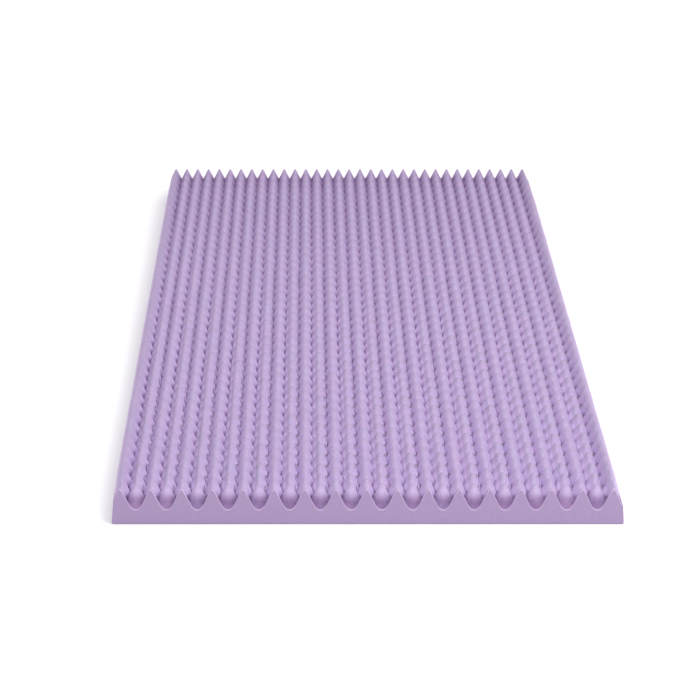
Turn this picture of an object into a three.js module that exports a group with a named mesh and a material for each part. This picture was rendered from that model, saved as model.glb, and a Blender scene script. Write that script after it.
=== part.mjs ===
// Mattress topper: one slab of convoluted foam, 39 x 75 in, with thirty-three ridges of run-together
// bumps on its upper side and a flat underside.
// Millimetres, +Z up. The slab rests on z = 0 with its length along +Y and its front cut at -Y.
import * as THREE from "three";

// Slab
const WIDTH = 991;
const LENGTH = 1905;
const THICKNESS = 78;
const BASE = 33;
const BUMP_HEIGHT = THICKNESS - BASE;
const SIDE_LEAN = 0.08; // the long sides lean in by this share of the height

// Columns of bumps
const COLUMNS = 33;
const COLUMN_STEP = 29.7;
const FIRST_COLUMN = 17.5; // from the left side of the underside
const ROWS = 40;
const ROW_CROWDING = 3; // rows by which the spacing at the front cut is closer than the mean
const FRONT_STAGGER = 0.5; // rows by which every second column is set back at the front cut

// One column: height shares, and distances from its axis in units of two column steps
const GROOVE_SHARE = 0.35;
const TIP_ROUND = 0.025; // roundness of the crest at the cuts
const CREST_ROUND = 0.3; // and half a row further in
const ROUND_ROWS = 0.5;
const FLANK_END = 0.29;
const FOOT_END = 0.5;
const WAIST = 0.5; // how much the column narrows between two bumps
const CREST_DIP = 0.15;
const NOTCH_POWER = 1.5;
const PIT_REACH = 0.46;
const PIT_LEVEL = 0.012;
const BLEND_POWER = 8;

// Outermost columns: their outer flanks run together into one smooth edge over this distance
const EDGE_BLEND = 13;

// Underside
const BASE_LINES = 12;
const BASE_POINTS = 24;

/** Height share of a column, 1 on the crest and 0 at the foot, at the distance u from its axis. */
function columnShare(u, rounded) {
  const fall = (1 - GROOVE_SHARE) / (Math.hypot(0.25, rounded) - rounded);
  const flank = (s) => 1 - fall * (Math.hypot(s, rounded) - rounded);
  if (u < FLANK_END) {
    return flank(u);
  }
  const left = Math.max(0, (FOOT_END - u) / (FOOT_END - FLANK_END));
  return flank(FLANK_END) * left * left;
}

/** Y of the row coordinate v: the rows are closer together near the front cut. */
function rowY(v) {
  const full = ROWS + ROW_CROWDING;
  const share = (full - Math.sqrt(full * full - 4 * ROW_CROWDING * v)) / (2 * ROW_CROWDING);
  return (share - 0.5) * LENGTH;
}

/** X of the axis of column k. */
function columnX(k) {
  return -WIDTH / 2 + FIRST_COLUMN + k * COLUMN_STEP;
}

/** Set-back at row coordinate v of every second column: it fades to nothing at the back cut. */
function setBack(v) {
  const share = Math.min(1, Math.max(0, v / ROWS));
  return FRONT_STAGGER * 0.5 * (1 + Math.cos(Math.PI * share));
}

/** Row coordinate at which a line with this share of the set-back reaches the phase s. */
function rowOfPhase(setBackShare, s) {
  let low = -1;
  let high = ROWS + 1;
  for (let i = 0; i < 40; i += 1) {
    const middle = (low + high) / 2;
    if (middle - setBackShare * setBack(middle) < s) {
      low = middle;
    } else {
      high = middle;
    }
  }
  return (low + high) / 2;
}

/** Height share of column k at x and row coordinate v. */
function shareOfColumn(k, x, v) {
  const dx = x - columnX(k);
  const outside = (k === 0 && dx < 0) || (k === COLUMNS - 1 && dx > 0);
  const along = outside ? Math.max(0, 1 - Math.abs(dx) / EDGE_BLEND) : 1;
  const phase = v - (k % 2) * setBack(v);
  const wave = phase > 0 ? (1 - Math.cos(2 * Math.PI * phase)) / 2 : 0;
  const notch = wave ** NOTCH_POWER * along;
  const inside = Math.min(1, Math.max(0, Math.min(v, ROWS - v) / ROUND_ROWS));
  const rounded = TIP_ROUND + (CREST_ROUND - TIP_ROUND) * inside;
  const across = (dx / (2 * COLUMN_STEP)) * (1 + WAIST * notch);
  const ahead = PIT_REACH * Math.max(0, -2 * phase);
  return Math.max(0, columnShare(Math.hypot(across, ahead), rounded) - CREST_DIP * notch);
}

/** Height of the upper side at x and row coordinate v, as a smooth union of the columns around it. */
function topHeight(x, v) {
  const nearest = Math.round((x - columnX(0)) / COLUMN_STEP);
  let sum = 0;
  for (let k = Math.max(0, nearest - 1); k <= Math.min(COLUMNS - 1, nearest + 1); k += 1) {
    sum += shareOfColumn(k, x, v) ** BLEND_POWER;
  }
  const share = (sum ** (1 / BLEND_POWER) - PIT_LEVEL) / (1 - PIT_LEVEL);
  return BASE + BUMP_HEIGHT * Math.min(1, Math.max(0, share));
}

/** Points of the upper side at x: one for each step of the phase, and both cuts. */
function topLine(x, setBackShare, phaseStep) {
  const rows = [0];
  for (let s = -0.5; s < ROWS + 1; s += phaseStep) {
    const v = rowOfPhase(setBackShare, s);
    if (v > 0.1 && v < ROWS - 0.1) {
      rows.push(v);
    }
  }
  rows.push(ROWS);
  return rows.map((v) => new THREE.Vector3(x, rowY(v), topHeight(x, v)));
}

/** Outer edge of the upper side, where the leaning side meets the smooth outer flank. */
function edgeLine(side) {
  const line = [];
  for (let v = 0; v <= ROWS; v += 1) {
    let x = 0;
    let z = BASE;
    for (let turn = 0; turn < 30; turn += 1) {
      x = side * (WIDTH / 2 - SIDE_LEAN * z);
      z = topHeight(x, v);
    }
    line.push(new THREE.Vector3(x, rowY(v), z));
  }
  return line;
}

/** Straight line of the underside at x. */
function baseLine(x) {
  const line = [];
  for (let j = 0; j <= BASE_POINTS; j += 1) {
    line.push(new THREE.Vector3(x, -LENGTH / 2 + (LENGTH * j) / BASE_POINTS, 0));
  }
  return line;
}

/** Triangles of the strip between two lines of points that both run along the axis given. */
function strip(triangles, first, second, axis) {
  let i = 0;
  let j = 0;
  while (i < first.length - 1 || j < second.length - 1) {
    const stepFirst =
      j === second.length - 1 ||
      (i < first.length - 1 && first[i + 1][axis] <= second[j + 1][axis]);
    if (stepFirst) {
      triangles.push(first[i], second[j], first[i + 1]);
      i += 1;
    } else {
      triangles.push(first[i], second[j], second[j + 1]);
      j += 1;
    }
  }
}

/** The slab: upper side, underside, both long sides and both end cuts as one closed surface. */
function slabGeometry() {
  const top = [edgeLine(-1)];
  for (let k = 0; k < COLUMNS; k += 1) {
    top.push(topLine(columnX(k), k % 2, 0.5));
    if (k < COLUMNS - 1) {
      top.push(topLine(columnX(k) + COLUMN_STEP / 2, 0.5, 0.5));
    }
  }
  top.push(edgeLine(1));
  const base = [];
  for (let i = 0; i <= BASE_LINES; i += 1) {
    base.push(baseLine(-WIDTH / 2 + (WIDTH * i) / BASE_LINES));
  }

  const triangles = [];
  for (let i = 0; i < top.length - 1; i += 1) {
    strip(triangles, top[i], top[i + 1], "y");
  }
  for (let i = 0; i < base.length - 1; i += 1) {
    strip(triangles, base[i + 1], base[i], "y");
  }
  strip(triangles, base[0], top[0], "y");
  strip(triangles, top[top.length - 1], base[base.length - 1], "y");
  const cut = (lines, at) => lines.map((line) => line.at(at));
  strip(triangles, cut(top, 0), cut(base, 0), "x");
  strip(triangles, cut(base, -1), cut(top, -1), "x");
  const geometry = new THREE.BufferGeometry().setFromPoints(triangles);
  geometry.computeVertexNormals();
  return geometry;
}

const foam = new THREE.MeshStandardMaterial({ color: 0xb39ccb, roughness: 0.95, metalness: 0 });
const slab = new THREE.Mesh(slabGeometry(), foam);
slab.name = "foam_slab";

const group = new THREE.Group();
group.name = "mattress_topper";
group.add(slab);

export default group;
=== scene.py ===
"""A twin mattress topper of convoluted foam, lying on a pale studio floor.

Metres, +Z up. The slab rests on z = 0 with its length along +Y and its front cut at -Y.
"""

import logging
import math
from dataclasses import dataclass
from enum import Enum
from typing import Callable, ClassVar, Mapping, Sequence, Union

import bpy
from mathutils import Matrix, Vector


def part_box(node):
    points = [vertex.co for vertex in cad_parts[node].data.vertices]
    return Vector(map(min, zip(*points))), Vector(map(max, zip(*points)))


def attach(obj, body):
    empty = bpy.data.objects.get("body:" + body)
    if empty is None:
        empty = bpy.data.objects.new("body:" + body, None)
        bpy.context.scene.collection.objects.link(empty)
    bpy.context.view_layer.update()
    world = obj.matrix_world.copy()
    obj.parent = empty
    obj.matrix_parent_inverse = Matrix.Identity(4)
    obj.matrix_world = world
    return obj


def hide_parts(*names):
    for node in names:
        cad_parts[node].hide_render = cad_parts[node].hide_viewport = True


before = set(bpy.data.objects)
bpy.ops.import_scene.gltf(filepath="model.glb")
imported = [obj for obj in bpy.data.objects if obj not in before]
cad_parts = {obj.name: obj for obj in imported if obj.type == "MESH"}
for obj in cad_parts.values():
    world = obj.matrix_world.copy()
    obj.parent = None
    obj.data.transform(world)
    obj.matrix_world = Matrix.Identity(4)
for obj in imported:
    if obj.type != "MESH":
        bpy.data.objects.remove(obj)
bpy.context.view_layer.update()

LOG = logging.getLogger("topper")
PHOTO_SIZE = 700


class Wire:
    """An output socket on which Python's operators add Math nodes."""

    def __init__(self, graph: "Graph", socket: bpy.types.NodeSocket) -> None:
        """Wrap a socket of a graph."""
        self.graph = graph
        self.socket = socket

    def __add__(self, other: "Value") -> "Wire":
        """Sum."""
        return self.graph.math("ADD", self, other)

    def __radd__(self, other: "Value") -> "Wire":
        """Sum, the other way round."""
        return self.graph.math("ADD", other, self)

    def __sub__(self, other: "Value") -> "Wire":
        """Difference."""
        return self.graph.math("SUBTRACT", self, other)

    def __rsub__(self, other: "Value") -> "Wire":
        """Difference, the other way round."""
        return self.graph.math("SUBTRACT", other, self)

    def __mul__(self, other: "Value") -> "Wire":
        """Product."""
        return self.graph.math("MULTIPLY", self, other)

    def __rmul__(self, other: "Value") -> "Wire":
        """Product, the other way round."""
        return self.graph.math("MULTIPLY", other, self)

    def __truediv__(self, other: "Value") -> "Wire":
        """Quotient."""
        return self.graph.math("DIVIDE", self, other)

    def __rtruediv__(self, other: "Value") -> "Wire":
        """Quotient, the other way round."""
        return self.graph.math("DIVIDE", other, self)

    def __pow__(self, other: "Value") -> "Wire":
        """Power."""
        return self.graph.math("POWER", self, other)

    def __abs__(self) -> "Wire":
        """Absolute value."""
        return self.graph.math("ABSOLUTE", self)

    def __lt__(self, other: "Value") -> "Wire":
        """1 where this is less, else 0."""
        return self.graph.math("LESS_THAN", self, other)

    def __gt__(self, other: "Value") -> "Wire":
        """1 where this is greater, else 0."""
        return self.graph.math("GREATER_THAN", self, other)

    def at_least(self, other: "Value") -> "Wire":
        """The greater of the two."""
        return self.graph.math("MAXIMUM", self, other)

    def at_most(self, other: "Value") -> "Wire":
        """The lesser of the two."""
        return self.graph.math("MINIMUM", self, other)

    def floor(self) -> "Wire":
        """Whole number at or below."""
        return self.graph.math("FLOOR", self)

    def nearest(self) -> "Wire":
        """Nearest whole number."""
        return self.graph.math("ROUND", self)

    def cosine(self) -> "Wire":
        """Cosine."""
        return self.graph.math("COSINE", self)

    def sine(self) -> "Wire":
        """Sine."""
        return self.graph.math("SINE", self)

    def sign(self) -> "Wire":
        """-1, 0 or 1."""
        return self.graph.math("SIGN", self)


Value = Union[Wire, float, int, bool, str, Sequence[float], bpy.types.ID]


class Graph:
    """A node tree to which nodes are added by type, settings and sockets."""

    def __init__(self, tree: bpy.types.NodeTree) -> None:
        """Wrap a node tree."""
        self.tree = tree

    def node(
        self,
        kind: str,
        settings: Mapping[str, object] | None = None,
        sockets: Mapping[Union[str, int], Value] | None = None,
    ) -> bpy.types.Node:
        """Add one node.

        Args:
            kind: The node's type.
            settings: Its properties, set before its sockets.
            sockets: Values or links, by identifier, name or number of the input.

        Returns:
            The new node.
        """
        made = self.tree.nodes.new(kind)
        for name, value in (settings or {}).items():
            setattr(made, name, value)
        for key, value in (sockets or {}).items():
            self.connect(value, self._find(made.inputs, key))
        return made

    def wire(
        self,
        kind: str,
        settings: Mapping[str, object] | None = None,
        sockets: Mapping[Union[str, int], Value] | None = None,
        output: Union[str, int] = 0,
    ) -> Wire:
        """Add one node and take one of its outputs.

        Args:
            kind: The node's type.
            settings: Its properties.
            sockets: Values or links of its inputs.
            output: Identifier, name or number of the output.

        Returns:
            That output.
        """
        return self.out(self.node(kind, settings, sockets), output)

    def out(self, made: bpy.types.Node, output: Union[str, int] = 0) -> Wire:
        """Output of a node, by identifier, name or number."""
        return Wire(self, self._find(made.outputs, output))

    def connect(self, value: Value, target: bpy.types.NodeSocket) -> None:
        """Link a wire to an input socket, or set the socket's own value."""
        if isinstance(value, Wire):
            self.tree.links.new(value.socket, target)
        else:
            target.default_value = value

    def math(self, operation: str, *values: Value) -> Wire:
        """Add a Math node and take its result."""
        return self.wire("ShaderNodeMath", {"operation": operation}, dict(enumerate(values)))

    def point(self, x: Value, y: Value, z: Value) -> Wire:
        """Vector of three numbers."""
        return self.wire("ShaderNodeCombineXYZ", None, {0: x, 1: y, 2: z})

    def axes(self, vector: Value) -> tuple[Wire, Wire, Wire]:
        """The three numbers of a vector."""
        made = self.node("ShaderNodeSeparateXYZ", None, {0: vector})
        return self.out(made, 0), self.out(made, 1), self.out(made, 2)

    def length(self, x: Wire, y: Value) -> Wire:
        """Length of a vector of two numbers."""
        return self.math("SQRT", x * x + y * y)

    def blend(self, share: Value, first: Value, second: Value) -> Wire:
        """Number between two numbers, at a share of the way from the first to the second."""
        return self.wire("ShaderNodeMix", {"data_type": "FLOAT"}, {0: share, 2: first, 3: second})

    def tint(self, share: Value, first: Value, second: Value, how: str = "MIX") -> Wire:
        """Mix two colours.

        Args:
            share: How much of the second colour is laid on the first.
            first: The colour underneath.
            second: The colour laid on it.
            how: Blend type of the Mix node.

        Returns:
            The mixed colour.
        """
        settings = {"data_type": "RGBA", "blend_type": how}
        return self.wire("ShaderNodeMix", settings, {0: share, 6: first, 7: second}, 2)

    @staticmethod
    def _find(
        sockets: bpy.types.bpy_prop_collection, key: Union[str, int]
    ) -> bpy.types.NodeSocket:
        """Socket by identifier, name or number."""
        if isinstance(key, int):
            return sockets[key]
        for socket in sockets:
            if socket.identifier == key:
                return socket
        return sockets[key]


class Kind(Enum):
    """Socket type of a named input of a Geometry Nodes tree."""

    NUMBER = "NodeSocketFloat"
    COUNT = "NodeSocketInt"
    MATERIAL = "NodeSocketMaterial"


@dataclass(frozen=True)
class Ridge:
    """One column of the foam: a ridge with notched flanks, in height shares and double column steps.

    The grooves lie at `groove_share` inside the slab and at `cut_groove_share` at the cuts. The crest
    is as sharp as `tip_round` at the cuts and as round as `crest_round` from `round_rows` rows in.
    Half-way between two bumps the column is narrowed by `waist` and lowered by `crest_dip`.
    """

    groove_share: float = 0.5
    cut_groove_share: float = 0.35
    tip_round: float = 0.025
    crest_round: float = 0.3
    crest_power: float = 1.2
    round_rows: float = 3.0
    flank_end: float = 0.29
    foot_end: float = 0.5
    waist: float = 1.1
    crest_dip: float = 0.42
    notch_power: float = 1.5
    pit_reach: float = 0.46
    pit_level: float = 0.012
    blend_power: float = 8.0

    def flank(self, u: float) -> float:
        """Height share of the flank at u, inside the slab."""
        rounded = self.crest_round
        drop = (math.hypot(u, rounded) - rounded) / (math.hypot(0.25, rounded) - rounded)
        return 1 - (1 - self.groove_share) * drop**self.crest_power

    def share(self, u: float) -> float:
        """Height share at u, with the foot that runs out into the pit."""
        if u < self.flank_end:
            alone = self.flank(u)
        else:
            left = max(0.0, (self.foot_end - u) / (self.foot_end - self.flank_end))
            alone = self.flank(self.flank_end) * left * left
        return (alone - self.pit_level) / (1 - self.pit_level)


@dataclass(frozen=True)
class FoamFinish:
    """Matt open-cell polyurethane foam, lavender all through.

    Heights are height shares. The pits get painted shade from `pit_floor` up to `pit_top_front` near
    the front cut and `pit_top_back` near the back cut, and up to `mouth_top` where they open in the
    front cut.
    The crests get painted shade from `crest_from` upwards, darker than the body to even out the light
    on the tips. The cut sides get a flat painted shade, and the lip a painted highlight.
    """

    # Painted shade: the crests are darker than the body, which evens out the light on the tips.
    crest: tuple[float, float, float, float] = (0.365, 0.288, 0.452, 1.0)
    body: tuple[float, float, float, float] = (0.63, 0.50, 0.755, 1.0)
    # Painted shade in the pits.
    pit: tuple[float, float, float, float] = (0.22, 0.135, 0.285, 1.0)
    # Painted shade: one flat darker colour for the cut sides, standing in for the weaker light on them.
    cut: tuple[float, float, float, float] = (0.345, 0.257, 0.424, 1.0)
    # Painted highlight along the lip round the upper side.
    rim_highlight: tuple[float, float, float, float] = (0.60, 0.46, 0.68, 1.0)
    rosy: tuple[float, float, float, float] = (0.55, 0.38, 0.60, 1.0)
    bluish: tuple[float, float, float, float] = (0.44, 0.41, 0.63, 1.0)
    crest_from: float = 0.5
    pit_floor: float = 0.15
    pit_top_front: float = 0.38
    pit_top_back: float = 0.95
    mouth_top: float = 1.35
    mouth_reach: float = 0.03
    cloud: float = 0.055
    cloud_spread: float = 0.25
    cloud_share: float = 0.3
    speck: float = 0.0045
    speck_contrast: float = 0.12
    roughness: float = 0.96
    cell_gloss: float = 0.08
    specular: float = 0.12
    cell: float = 0.0013
    cell_depth: float = 0.00035
    lump: float = 0.012
    lump_depth: float = 0.0007

    def material(self, slab_length: float) -> bpy.types.Material:
        """Build the material.

        Args:
            slab_length: Length of the slab between its front and back cuts.

        Returns:
            The foam, with painted shade in the pits, on the crests and on the plainer cut sides, and a
            painted highlight along the lip.
        """
        made = bpy.data.materials.new("foam_lavender")
        made.use_nodes = True
        made.node_tree.nodes.clear()
        g = Graph(made.node_tree)
        place = g.wire("ShaderNodeTexCoord", None, None, "Object")
        sockets = {"Vector": place, "Scale": 1 / self.cell}
        cells = g.wire("ShaderNodeTexVoronoi", {"feature": "F1"}, sockets, "Distance")
        lumps = self._noise(g, place, self.lump, 2.0)
        relief = lumps * self.lump_depth + cells * self.cell_depth
        bump = g.wire("ShaderNodeBump", None, {"Strength": 1.0, "Distance": 1.0, "Height": relief})
        shader = g.node(
            "ShaderNodeBsdfPrincipled",
            None,
            {
                "Base Color": self._colour(g, place, slab_length),
                "Roughness": self.roughness - self.cell_gloss * cells,
                "Normal": bump,
                "Specular IOR Level": self.specular,
            },
        )
        g.node("ShaderNodeOutputMaterial", None, {"Surface": g.out(shader, "BSDF")})
        return made

    def _colour(self, g: Graph, place: Wire, slab_length: float) -> Wire:
        """Lay the foam's tones over each other, with painted shade on the crests, in the pits and on
        the cut sides, and a painted highlight along the lip.

        Args:
            g: The material's nodes.
            place: Object coordinates.
            slab_length: Length of the slab.

        Returns:
            The colour of the foam at each point.
        """
        height = self._attribute(g, FoamSlab.HEIGHT_NAME)
        cut = self._attribute(g, FoamSlab.CUT_NAME)
        rim = self._attribute(g, FoamSlab.RIM_NAME)
        clouds = self._noise(g, place, self.cloud, 3.0)
        specks = self._noise(g, place, self.speck, 2.0)
        # Painted shade on the crests, from crest_from upwards, evening out the light on the tips.
        colour = g.tint(self._ramp(g, height, self.crest_from, 1.0), self.body, self.crest)
        # Painted shade in the pits, darkest at the bottom and kept off the cut sides.
        depth = self._painted_pit_shade(g, place, height, slab_length)
        colour = g.tint(depth * (1 - cut), colour, self.pit)
        rosy = self._ramp(g, clouds, 0.5, 0.5 + self.cloud_spread)
        bluish = self._ramp(g, clouds, 0.5, 0.5 - self.cloud_spread)
        colour = g.tint(rosy * self.cloud_share, colour, self.rosy)
        colour = g.tint(bluish * self.cloud_share, colour, self.bluish)
        # Painted shade on the cut sides: one flat darker colour.
        colour = g.tint(cut, colour, self.cut)
        # Painted highlight along the lip, kept off the cut sides.
        colour = g.tint(rim * (1 - cut), colour, self.rim_highlight)
        shade = (1 - self.speck_contrast / 2) + self.speck_contrast * specks
        return g.tint(1.0, colour, g.point(shade, shade, shade), "MULTIPLY")

    def _painted_pit_shade(self, g: Graph, place: Wire, height: Wire, slab_length: float) -> Wire:
        """Work out how much painted shade a point gets, by how far it lies down in a pit.

        Args:
            g: The material's nodes.
            place: Object coordinates.
            height: Height share of the point.
            slab_length: Length of the slab.

        Returns:
            The share of painted shade: 1 at the bottom, 0 above the shaded part, which grows towards
                the back
            cut and is highest in the mouths of the pits at the front cut.
        """
        _, along, _ = g.axes(place)
        from_front = along + slab_length / 2
        pit_top = g.blend(from_front / slab_length, self.pit_top_front, self.pit_top_back)
        mouth = (1 - from_front / self.mouth_reach).at_least(0.0)
        pit_top = g.blend(mouth, pit_top, self.mouth_top)
        return 1 - self._ramp(g, height, self.pit_floor, pit_top, "SMOOTHSTEP")

    @staticmethod
    def _ramp(g: Graph, value: Wire, start: Value, end: Value, how: str = "LINEAR") -> Wire:
        """0 where the value is at the start, 1 where it is at the end, and between them in between."""
        sockets = {"Value": value, "From Min": start, "From Max": end}
        return g.wire("ShaderNodeMapRange", {"interpolation_type": how}, sockets)

    @staticmethod
    def _attribute(g: Graph, name: str) -> Wire:
        """Number stored on the mesh under a name."""
        return g.wire("ShaderNodeAttribute", {"attribute_name": name}, None, "Fac")

    @staticmethod
    def _noise(g: Graph, place: Wire, size: float, detail: float) -> Wire:
        """Noise with spots of a size in metres."""
        return g.wire(
            "ShaderNodeTexNoise", None, {"Vector": place, "Scale": 1 / size, "Detail": detail}, "Fac"
        )


@dataclass
class FoamSlab:
    """The slab of convoluted foam: bumps in straight columns, knife-cut sides and a flat underside.

    Every second column is set back by `front_stagger` rows at the front cut, which fades to nothing at
    the back cut. `line_crowding` draws the lines of the mesh together in the notches, and the lines
    take `end_rows` rows from a cut to follow the set-back. The notches of the two outermost columns
    begin at the crest and reach their full depth `edge_blend` further in, so the edges stay straight.
    """

    HEIGHT_NAME: ClassVar[str] = "height_share"
    CUT_NAME: ClassVar[str] = "cut_side"
    # Name of the painted highlight's share along the lip.
    RIM_NAME: ClassVar[str] = "painted_rim_highlight"

    node: str = "foam_slab"
    base: float = 0.033
    side_lean: float = 0.08
    columns: int = 33
    column_step: float = 0.0297
    first_column: float = 0.0175
    rows: int = 40
    front_stagger: float = 0.5
    edge_blend: float = 0.007
    column_points: int = 8
    row_points: int = 8
    line_crowding: float = 0.5
    end_rows: float = 2.0
    lip: float = 0.002
    foot: float = 0.003
    row_crowding: float = 3.0
    uneven_notch: float = 0.25
    uneven_height: float = 0.02
    seed: int = 5
    ridge: Ridge = Ridge()
    finish: FoamFinish = FoamFinish()

    def __post_init__(self) -> None:
        """Take the width, length and thickness from the CAD node."""
        low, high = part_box(self.node)
        self.width, self.length, self.thickness = high - low

    @property
    def first_x(self) -> float:
        """X of the first column's axis."""
        return -self.width / 2 + self.first_column

    @property
    def last_x(self) -> float:
        """X of the last column's axis."""
        return self.first_x + (self.columns - 1) * self.column_step

    def edge_x(self, side: int) -> float:
        """Find where the upper side meets a long side.

        Args:
            side: -1 for the left side, 1 for the right one.

        Returns:
            X of the outer edge, at which the leaning side reaches the outer flank.
        """
        axis = self.first_x if side < 0 else self.last_x
        x = side * self.width / 2
        for _ in range(20):
            share = self.ridge.share(abs(x - axis) / (2 * self.column_step))
            x = side * (self.width / 2 - self.side_lean * self._height(share))
        return x

    def _height(self, share: float) -> float:
        """Height of the upper side at a height share."""
        return self.base + (self.thickness - self.base) * max(0.0, share)

    def build(self) -> bpy.types.Object:
        """Build the slab as one closed mesh.

        Returns:
            The finished piece, riding on the root body.
        """
        left, right = self.edge_x(-1), self.edge_x(1)
        point_step = self.column_step / self.column_points
        before = math.ceil((self.first_x - left - self.lip) / point_step)
        after = math.ceil((right - self.lip - self.last_x) / point_step)
        values: dict[str, tuple[Kind, object]] = {
            "Width": (Kind.NUMBER, self.width),
            "Length": (Kind.NUMBER, self.length),
            "Thickness": (Kind.NUMBER, self.thickness),
            "Base": (Kind.NUMBER, self.base),
            "Left Edge": (Kind.NUMBER, left),
            "Right Edge": (Kind.NUMBER, right),
            "First Column": (Kind.NUMBER, self.first_x),
            "Column Step": (Kind.NUMBER, self.column_step),
            "Columns": (Kind.COUNT, self.columns),
            "Rows": (Kind.COUNT, self.rows),
            "Front Stagger": (Kind.NUMBER, self.front_stagger),
            "Row Crowding": (Kind.NUMBER, self.row_crowding),
            "Groove Share": (Kind.NUMBER, self.ridge.groove_share),
            "Cut Groove Share": (Kind.NUMBER, self.ridge.cut_groove_share),
            "Tip Round": (Kind.NUMBER, self.ridge.tip_round),
            "Crest Round": (Kind.NUMBER, self.ridge.crest_round),
            "Crest Power": (Kind.NUMBER, self.ridge.crest_power),
            "Round Rows": (Kind.NUMBER, self.ridge.round_rows),
            "Flank End": (Kind.NUMBER, self.ridge.flank_end),
            "Foot End": (Kind.NUMBER, self.ridge.foot_end),
            "Waist": (Kind.NUMBER, self.ridge.waist),
            "Crest Dip": (Kind.NUMBER, self.ridge.crest_dip),
            "Notch Power": (Kind.NUMBER, self.ridge.notch_power),
            "Pit Reach": (Kind.NUMBER, self.ridge.pit_reach),
            "Pit Level": (Kind.NUMBER, self.ridge.pit_level),
            "Blend Power": (Kind.NUMBER, self.ridge.blend_power),
            "Edge Blend": (Kind.NUMBER, self.edge_blend),
            "Points Across": (Kind.COUNT, (self.columns - 1) * self.column_points + 1 + before + after),
            "Points Before": (Kind.COUNT, before),
            "Points per Column": (Kind.COUNT, self.column_points),
            "Points per Row": (Kind.COUNT, self.row_points),
            "Line Crowding": (Kind.NUMBER, self.line_crowding),
            "End Rows": (Kind.NUMBER, self.end_rows),
            "Lip": (Kind.NUMBER, self.lip),
            "Foot": (Kind.NUMBER, self.foot),
            "Uneven Notch": (Kind.NUMBER, self.uneven_notch),
            "Uneven Height": (Kind.NUMBER, self.uneven_height),
            "Seed": (Kind.COUNT, self.seed),
            "Foam": (Kind.MATERIAL, self.finish.material(self.length)),
        }
        piece = mesh_from_tree("topper_foam", SlabTree(values).tree, values)
        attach(piece, "root")
        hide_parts(self.node)
        return piece


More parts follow.
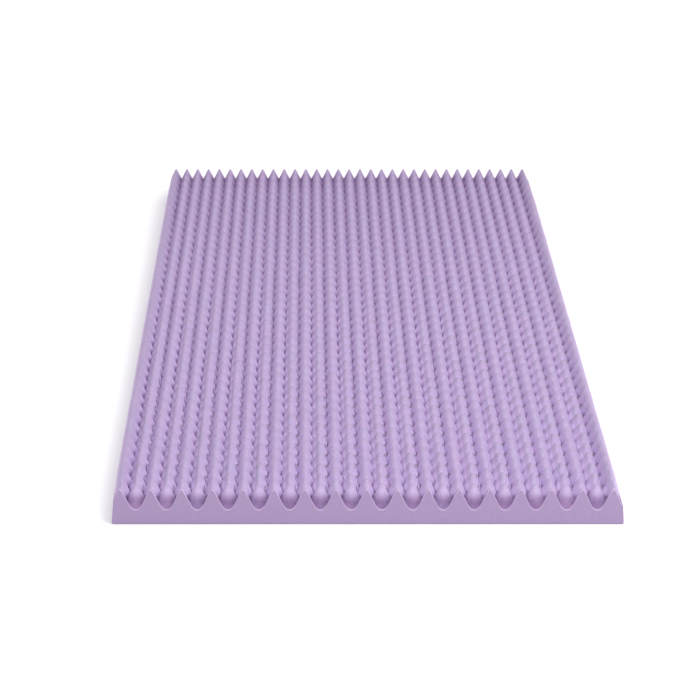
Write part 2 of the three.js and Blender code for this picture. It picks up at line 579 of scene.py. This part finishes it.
class SlabTree:
    """Geometry Nodes tree of the slab, from a grid of points to a closed mesh with its material."""

    NEAR_COLUMNS = 3
    # Share of the painted highlight on the upper side's border, times the height share.
    BORDER_HIGHLIGHT = 0.3
    WALL_TOP_LIPS = 0.1
    FOOT_INSET = 0.7
    ON_EDGE = 1.01
    WELD = 0.00002
    IDS_PER_COLUMN = 97
    FIRST_ID = 500

    def __init__(self, values: Mapping[str, tuple[Kind, object]]) -> None:
        """Make the tree with its named inputs.

        Args:
            values: Socket type and value of each input, by name.
        """
        self.tree = bpy.data.node_groups.new("convoluted_foam", "GeometryNodeTree")
        for name, (kind, _) in values.items():
            self.tree.interface.new_socket(name, in_out="INPUT", socket_type=kind.value)
        self.tree.interface.new_socket("Geometry", in_out="OUTPUT", socket_type="NodeSocketGeometry")
        self.g = Graph(self.tree)
        entry = self.g.node("NodeGroupInput")
        self.size = {name: self.g.out(entry, name) for name in values}
        self._build()

    def _build(self) -> None:
        """Chain the steps from the grid to the output."""
        g, size = self.g, self.size
        mesh = self._upper_side()
        mesh = self._store(mesh, FoamSlab.CUT_NAME, 0.0)
        mesh = self._store(mesh, FoamSlab.RIM_NAME, 0.0)
        mesh, rim = self._lip(mesh)
        mesh = self._walls(mesh, rim)
        mesh = self._underside(mesh)
        mesh = g.wire("GeometryNodeRealizeInstances", None, {0: mesh})
        mesh = g.wire("GeometryNodeSetMaterial", None, {"Geometry": mesh, "Material": size["Foam"]})
        g.node("NodeGroupOutput", None, {0: mesh})

    def _position(self) -> tuple[Wire, Wire, Wire]:
        """X, y and z of each point."""
        return self.g.axes(self.g.wire("GeometryNodeInputPosition"))

    def _store(self, mesh: Wire, name: str, value: Value, selection: Value = True) -> Wire:
        """Store a number on each point of the mesh under a name."""
        settings = {"data_type": "FLOAT", "domain": "POINT"}
        sockets = {"Geometry": mesh, "Selection": selection, "Name": name, "Value": value}
        return self.g.wire("GeometryNodeStoreNamedAttribute", settings, sockets)

    def _stored(self, name: str) -> Wire:
        """Number stored on each point under a name."""
        settings = {"data_type": "FLOAT"}
        return self.g.wire("GeometryNodeInputNamedAttribute", settings, {"Name": name}, "Attribute")

    def _move(self, mesh: Wire, x: Value, y: Value, z: Value, selection: Value = True) -> Wire:
        """Set the place of the selected points."""
        sockets = {"Geometry": mesh, "Selection": selection, "Position": self.g.point(x, y, z)}
        return self.g.wire("GeometryNodeSetPosition", None, sockets)

    def _upper_side(self) -> Wire:
        """Lay out the grid with lines on the columns' axes and raise it to the bumps."""
        g, size = self.g, self.size
        across = size["Points Across"]
        along = size["Rows"] * size["Points per Row"] + 1
        grid = g.wire(
            "GeometryNodeMeshGrid",
            None,
            {"Size X": across - 1, "Size Y": along - 1, "Vertices X": across, "Vertices Y": along},
        )
        unit_x, unit_y, _ = self._position()
        line = (unit_x + (across - 1) / 2).nearest() - size["Points Before"]
        x = size["First Column"] + line * (size["Column Step"] / size["Points per Column"])
        x = x.at_least(size["Left Edge"] + size["Lip"]).at_most(size["Right Edge"] - size["Lip"])
        row = self._row_of_line(x, (unit_y + (along - 1) / 2).nearest() / size["Points per Row"])
        share = self._height_share(x, row)
        half = size["Length"] / 2
        y = self._share_of_length(row) * size["Length"] - half
        y = y.at_least(size["Lip"] - half).at_most(half - size["Lip"])
        mesh = self._store(grid, FoamSlab.HEIGHT_NAME, share)
        z = size["Base"] + (size["Thickness"] - size["Base"]) * self._stored(FoamSlab.HEIGHT_NAME)
        mesh = self._move(mesh, x, y, z)
        return g.wire("GeometryNodeSetShadeSmooth", {"domain": "FACE"}, {"Geometry": mesh})

    def _repeat(self, count: Value, start: Value, body: Callable[[Wire, Wire], Wire]) -> Wire:
        """Add a repeat zone that carries one number.

        Args:
            count: How many times the zone runs.
            start: The number before the first run.
            body: Takes the run's number and the number carried, and returns the next one.

        Returns:
            The number after the last run.
        """
        entry = self.tree.nodes.new("GeometryNodeRepeatInput")
        leave = self.tree.nodes.new("GeometryNodeRepeatOutput")
        entry.pair_with_output(leave)
        leave.repeat_items.clear()
        leave.repeat_items.new("FLOAT", "Number")
        g = self.g
        g.connect(count, entry.inputs["Iterations"])
        g.connect(start, entry.inputs["Number"])
        g.connect(body(g.out(entry, "Iteration"), g.out(entry, "Number")), leave.inputs["Number"])
        return g.out(leave, "Number")

    def _row_of_line(self, x: Wire, line: Wire) -> Wire:
        """Find the row at which a line of the grid crosses x.

        Args:
            x: Place across the slab.
            line: Number of the line, counted in rows from the front cut.

        Returns:
            The row. The lines run straight at the cuts, follow the set-back of the columns between
            them, and crowd together in the notches.
        """
        size = self.size
        line = line + (line * math.tau).sine() * (size["Line Crowding"] / math.tau)
        column = (x - size["First Column"]) / size["Column Step"]
        column = column.at_least(0.0).at_most(size["Columns"] - 1)
        odd_share = 1 - abs(1 - (column - 2 * (column / 2).floor()))
        ends = (line.at_most(size["Rows"] - line) / size["End Rows"]).at_most(1.0)
        return line + odd_share * self._fading_set_back(line) * ends

    def _share_of_length(self, row: Wire) -> Wire:
        """Share of the length at which a row lies: the rows are closer together near the front cut."""
        crowding = self.size["Row Crowding"]
        full = self.size["Rows"] + crowding
        return (full - self.g.math("SQRT", full * full - 4 * crowding * row)) / (2 * crowding)

    def _height_share(self, x: Wire, row: Wire) -> Wire:
        """Work out the height share of the upper side as a smooth union of the columns around a point.

        Args:
            x: Place across the slab.
            row: Place along the slab, in rows from the front cut.

        Returns:
            0 in the pits, 1 at the tips.
        """
        size = self.size
        nearest = ((x - size["First Column"]) / size["Column Step"]).nearest()
        power = size["Blend Power"]

        def add_column(turn: Wire, total: Wire) -> Wire:
            """Add one neighbouring column to the union."""
            return total + self._column(x, row, nearest + turn - self.NEAR_COLUMNS // 2) ** power

        total = self._repeat(self.NEAR_COLUMNS, 0.0, add_column)
        share = (total ** (1 / power) - size["Pit Level"]) / (1 - size["Pit Level"])
        return share.at_least(0.0).at_most(1.0)

    def _column(self, x: Wire, row: Wire, column: Wire) -> Wire:
        """Height share of one column at a point.

        Args:
            x: Place across the slab.
            row: Place along the slab, in rows.
            column: The column's number.

        Returns:
            The share, and 0 where there is no such column.
        """
        size = self.size
        exists = (column > -0.5) * (column < size["Columns"] - 0.5)
        dx = x - (size["First Column"] + column * size["Column Step"])
        first = column < 0.5
        last = column > size["Columns"] - 1.5
        inwards = ((first - last) * dx / size["Edge Blend"]).at_least(0.0).at_most(1.0)
        phase = row - self._set_back(column, row)
        to_cut = row.at_most(size["Rows"] - row).at_least(0.0)
        inside = (to_cut / size["Round Rows"]).at_most(1.0)
        notch = self._notch(column, phase) * (1 - (first + last) * (1 - inwards))
        notch = notch * (to_cut * 2).at_most(1.0)
        rounded = self.g.blend(inside, size["Tip Round"], size["Crest Round"])
        bulge = self.g.blend(inside, 1.0, size["Crest Power"])
        fall = 1 - self.g.blend(inside, size["Cut Groove Share"], size["Groove Share"])
        ahead = (phase * -2).at_least(0.0)
        aside = dx / (2 * size["Column Step"]) * (1 + size["Waist"] * notch)
        u = self.g.length(aside, size["Pit Reach"] * ahead)
        tall = self._random(column, phase.nearest(), 1) * size["Uneven Height"] * (1 - notch) * inside
        share = self._profile(u, rounded, bulge, fall) - size["Crest Dip"] * notch + tall
        return (share * exists).at_least(0.0)

    def _notch(self, column: Wire, phase: Wire) -> Wire:
        """How deep the notches of a column are at a phase: 0 on the tips, about 1 half-way between."""
        size = self.size
        wave = (1 - (phase * math.tau).cosine()) / 2
        depth = 1 + self._random(column, phase.floor(), 0) * size["Uneven Notch"]
        return wave ** size["Notch Power"] * depth * (phase > 0.0)

    def _set_back(self, column: Wire, row: Wire) -> Wire:
        """Rows by which a column is set back: every second one at the front, none at the back cut."""
        odd = column - 2 * (column / 2).floor()
        return odd * self._fading_set_back(row)

    def _fading_set_back(self, row: Wire) -> Wire:
        """Set-back of every second column at a row."""
        share = (row / self.size["Rows"]).at_least(0.0).at_most(1.0)
        return self.size["Front Stagger"] * 0.5 * (1 + (share * math.pi).cosine())

    def _profile(self, u: Wire, rounded: Wire, bulge: Wire, fall: Wire) -> Wire:
        """Height share of a column at u: a flank with a rounded crest, then a foot.

        Args:
            u: Distance from the axis.
            rounded: Roundness of the crest.
            bulge: Power that keeps the crest broad and makes the groove steep.
            fall: How far the groove lies below the crest.

        Returns:
            1 on the crest, the groove's share half-way to the next column, 0 at the foot.
        """
        g, size = self.g, self.size
        whole = g.length(rounded, 0.25) - rounded

        def flank(distance: Value) -> Wire:
            """Height share of the flank at a distance."""
            return 1 - fall * ((g.length(rounded, distance) - rounded) / whole) ** bulge

        left = ((size["Foot End"] - u) / (size["Foot End"] - size["Flank End"])).at_least(0.0)
        return g.blend(u < size["Flank End"], flank(size["Flank End"]) * left * left, flank(u))

    def _random(self, column: Wire, number: Wire, kind: int) -> Wire:
        """Random number from -1 to 1 that belongs to one bump or notch of a column."""
        sockets = {
            "Min_001": -1.0,
            "Max_001": 1.0,
            "ID": column * self.IDS_PER_COLUMN + number + self.FIRST_ID,
            "Seed": self.size["Seed"] + kind,
        }
        return self.g.wire("FunctionNodeRandomValue", {"data_type": "FLOAT"}, sockets, "Value_001")

    def _border(self) -> Wire:
        """1 on the edges that have one face."""
        faces = self.g.wire("GeometryNodeInputMeshEdgeNeighbors")
        return faces < 1.5

    def _extrude_edge(self, mesh: Wire, selection: Wire) -> tuple[Wire, Wire]:
        """Extrude selected edges by nothing.

        Args:
            mesh: The open mesh.
            selection: The edges.

        Returns:
            The mesh and the selection of the new outer edges.
        """
        made = self.g.node(
            "GeometryNodeExtrudeMesh",
            {"mode": "EDGES"},
            {"Mesh": mesh, "Selection": selection, "Offset Scale": 0.0},
        )
        return self.g.out(made, "Mesh"), self.g.out(made, "Top")

    def _crease(self, mesh: Wire, edges: Wire) -> Wire:
        """Keep the shading apart on the two sides of the edges."""
        sockets = {"Geometry": mesh, "Selection": edges, "Shade Smooth": False}
        return self.g.wire("GeometryNodeSetShadeSmooth", {"domain": "EDGE"}, sockets)

    def _lip(self, mesh: Wire) -> tuple[Wire, Wire]:
        """Add the narrow lip round the upper side, one lip's width outwards and down, with a painted
        highlight stored along it.
        """
        size = self.size
        # Painted highlight along the lip: full on the lip's outer edge, and on the border a share that
        # grows with the height, none in the valleys.
        border_highlight = self.BORDER_HIGHLIGHT * self._stored(FoamSlab.HEIGHT_NAME)
        mesh = self._store(mesh, FoamSlab.RIM_NAME, border_highlight, self._border())
        mesh, rim = self._extrude_edge(mesh, self._border())
        mesh = self._store(mesh, FoamSlab.RIM_NAME, 1.0, rim)
        x, y, z = self._position()
        half = size["Length"] / 2
        lip = size["Lip"]
        near = lip * self.ON_EDGE
        at_left = (x - size["Left Edge"]) < near
        at_right = (size["Right Edge"] - x) < near
        out_x = self.g.blend(at_left, self.g.blend(at_right, x, size["Right Edge"]), size["Left Edge"])
        at_end = (half - abs(y)) < near
        out_y = self.g.blend(at_end, y, y.sign() * half)
        mesh = self._move(mesh, out_x, out_y, z - lip, rim)
        return self._crease(mesh, rim), rim

    def _walls(self, mesh: Wire, rim: Wire) -> Wire:
        """Drop the four cut sides to the underside, with a small round foot."""
        size = self.size
        half = size["Width"] / 2
        foot = size["Foot"]
        mesh, rim = self._extrude_edge(mesh, rim)
        mesh = self._store(mesh, FoamSlab.CUT_NAME, 1.0, rim)
        # No painted highlight on the top of the cut sides.
        mesh = self._store(mesh, FoamSlab.RIM_NAME, 0.0, rim)
        x, y, z = self._position()
        mesh = self._move(mesh, x, y, z - size["Lip"] * self.WALL_TOP_LIPS, rim)
        mesh, rim = self._extrude_edge(mesh, rim)
        mesh = self._store(mesh, FoamSlab.CUT_NAME, 1.0, rim)
        x, y, _ = self._position()
        at_side = (x - size["Left Edge"]).at_most(size["Right Edge"] - x) < (size["Lip"] * 0.5)
        out_x = self.g.blend(at_side, x, x.sign() * half)
        mesh = self._crease(self._move(mesh, out_x, y, foot, rim), rim)
        mesh, rim = self._extrude_edge(mesh, rim)
        x, y, _ = self._position()
        inset = foot * self.FOOT_INSET
        in_x = x.sign() * abs(x).at_most(half - inset)
        in_y = y.sign() * abs(y).at_most(size["Length"] / 2 - inset)
        return self._move(mesh, in_x, in_y, 0.0, rim)

    def _underside(self, mesh: Wire) -> Wire:
        """Close the flat underside and join it to the sides."""
        g = self.g
        ring = g.wire("GeometryNodeMeshToCurve", None, {"Mesh": mesh, "Selection": self._border()})
        flat = g.wire("GeometryNodeFillCurve", {"mode": "NGONS"}, {"Curve": ring})
        flat = g.wire("GeometryNodeFlipFaces", None, {"Mesh": flat})
        joined = g.node("GeometryNodeJoinGeometry")
        for part in (mesh, flat):
            g.connect(part, joined.inputs[0])
        sockets = {"Geometry": g.out(joined), "Distance": self.WELD}
        return g.wire("GeometryNodeMergeByDistance", None, sockets)


def mesh_from_tree(
    name: str, tree: bpy.types.NodeTree, values: Mapping[str, tuple[Kind, object]]
) -> bpy.types.Object:
    """Run a Geometry Nodes tree and keep its result as a plain mesh.

    Args:
        name: Name of the piece.
        tree: The tree.
        values: Value of each named input.

    Returns:
        The piece, with no modifier left on it.
    """
    piece = bpy.data.objects.new(name, bpy.data.meshes.new(name))
    bpy.context.scene.collection.objects.link(piece)
    modifier = piece.modifiers.new("build", "NODES")
    modifier.node_group = tree
    for item in tree.interface.items_tree:
        if item.in_out == "INPUT":
            modifier[item.identifier] = values[item.name][1]
    bpy.context.view_layer.update()
    evaluated = piece.evaluated_get(bpy.context.evaluated_depsgraph_get())
    mesh = bpy.data.meshes.new_from_object(evaluated)
    mesh.name = name
    piece.modifiers.remove(modifier)
    piece.data = mesh
    return piece


@dataclass(frozen=True)
class Studio:
    """Pale floor, strong even ambience, and one soft light above the front cut, to the right."""

    floor_size: float = 30.0
    floor_colour: tuple[float, float, float, float] = (0.96, 0.96, 0.96, 1.0)
    floor_speck: float = 0.02
    floor_scale: float = 6.0
    floor_roughness: float = 0.9
    ambience: float = 1.0
    light_width: float = 2.2
    light_depth: float = 2.2
    light_place: tuple[float, float, float] = (1.1, -1.5, 2.6)
    light_target: tuple[float, float, float] = (0.0, 0.0, 0.0)
    light_power: float = 52.0

    def build(self) -> None:
        """Make the floor, the light and the ambience."""
        self._floor()
        self._light()
        world = bpy.data.worlds.new("studio")
        bpy.context.scene.world = world
        world.use_nodes = True
        backdrop = world.node_tree.nodes["Background"]
        backdrop.inputs["Color"].default_value = (1.0, 1.0, 1.0, 1.0)
        backdrop.inputs["Strength"].default_value = self.ambience

    def _floor(self) -> None:
        """Make the floor."""
        half = self.floor_size / 2
        mesh = bpy.data.meshes.new("studio_floor")
        corners = [(-half, -half, 0), (half, -half, 0), (half, half, 0), (-half, half, 0)]
        mesh.from_pydata(corners, [], [(0, 1, 2, 3)])
        floor = bpy.data.objects.new("studio_floor", mesh)
        bpy.context.scene.collection.objects.link(floor)
        made = bpy.data.materials.new("pale_floor")
        made.use_nodes = True
        g = Graph(made.node_tree)
        shader = made.node_tree.nodes["Principled BSDF"]
        place = g.wire("ShaderNodeTexCoord", None, None, "Object")
        specks = g.wire("ShaderNodeTexNoise", None, {"Vector": place, "Scale": self.floor_scale}, "Fac")
        darker = [value - self.floor_speck for value in self.floor_colour[:3]] + [1.0]
        g.connect(g.tint(specks, darker, self.floor_colour), shader.inputs["Base Color"])
        shader.inputs["Roughness"].default_value = self.floor_roughness
        mesh.materials.append(made)

    def _light(self) -> None:
        """Hang the soft light."""
        data = bpy.data.lights.new("soft_light", "AREA")
        data.shape = "RECTANGLE"
        data.size = self.light_width
        data.size_y = self.light_depth
        data.energy = self.light_power
        lamp = bpy.data.objects.new("soft_light", data)
        bpy.context.scene.collection.objects.link(lamp)
        lamp.location = self.light_place
        aim = Vector(self.light_target) - Vector(self.light_place)
        lamp.rotation_euler = aim.to_track_quat("-Z", "Y").to_euler()


@dataclass(frozen=True)
class PhotoCamera:
    """The camera of the photograph, worked out from the outline of the topper."""

    tilt: float = math.radians(23.7)
    focal_px: float = 2107.0
    vanish_x_px: float = 308.3
    first_tip_x_px: float = 119.35
    first_tip_depth: float = 4.047
    above_tips: float = 1.8706
    sensor_width: float = 36.0

    def build(self, slab: FoamSlab) -> None:
        """Place the camera in front of the slab's front cut.

        Args:
            slab: The slab that it looks at.
        """
        data = bpy.data.cameras.new("photo_camera")
        data.sensor_width = self.sensor_width
        data.lens = self.sensor_width * self.focal_px / PHOTO_SIZE
        data.shift_x = (PHOTO_SIZE / 2 - self.vanish_x_px) / PHOTO_SIZE
        camera = bpy.data.objects.new("photo_camera", data)
        bpy.context.scene.collection.objects.link(camera)
        aside = (self.first_tip_x_px - self.vanish_x_px) * self.first_tip_depth / self.focal_px
        away = (self.first_tip_depth - self.above_tips * math.sin(self.tilt)) / math.cos(self.tilt)
        camera.location = (
            slab.first_x - aside,
            -slab.length / 2 - away,
            slab.thickness + self.above_tips,
        )
        camera.rotation_euler = (math.pi / 2 - self.tilt, 0.0, 0.0)
        bpy.context.scene.camera = camera
        bpy.context.scene.view_settings.view_transform = "Standard"


def main() -> None:
    """Build the topper and its studio."""
    logging.basicConfig(level=logging.INFO)
    slab = FoamSlab()
    PhotoCamera().build(slab)
    piece = slab.build()
    LOG.info("%s: %d faces", piece.name, len(piece.data.polygons))
    Studio().build()


if __name__ == "__main__":
    main()
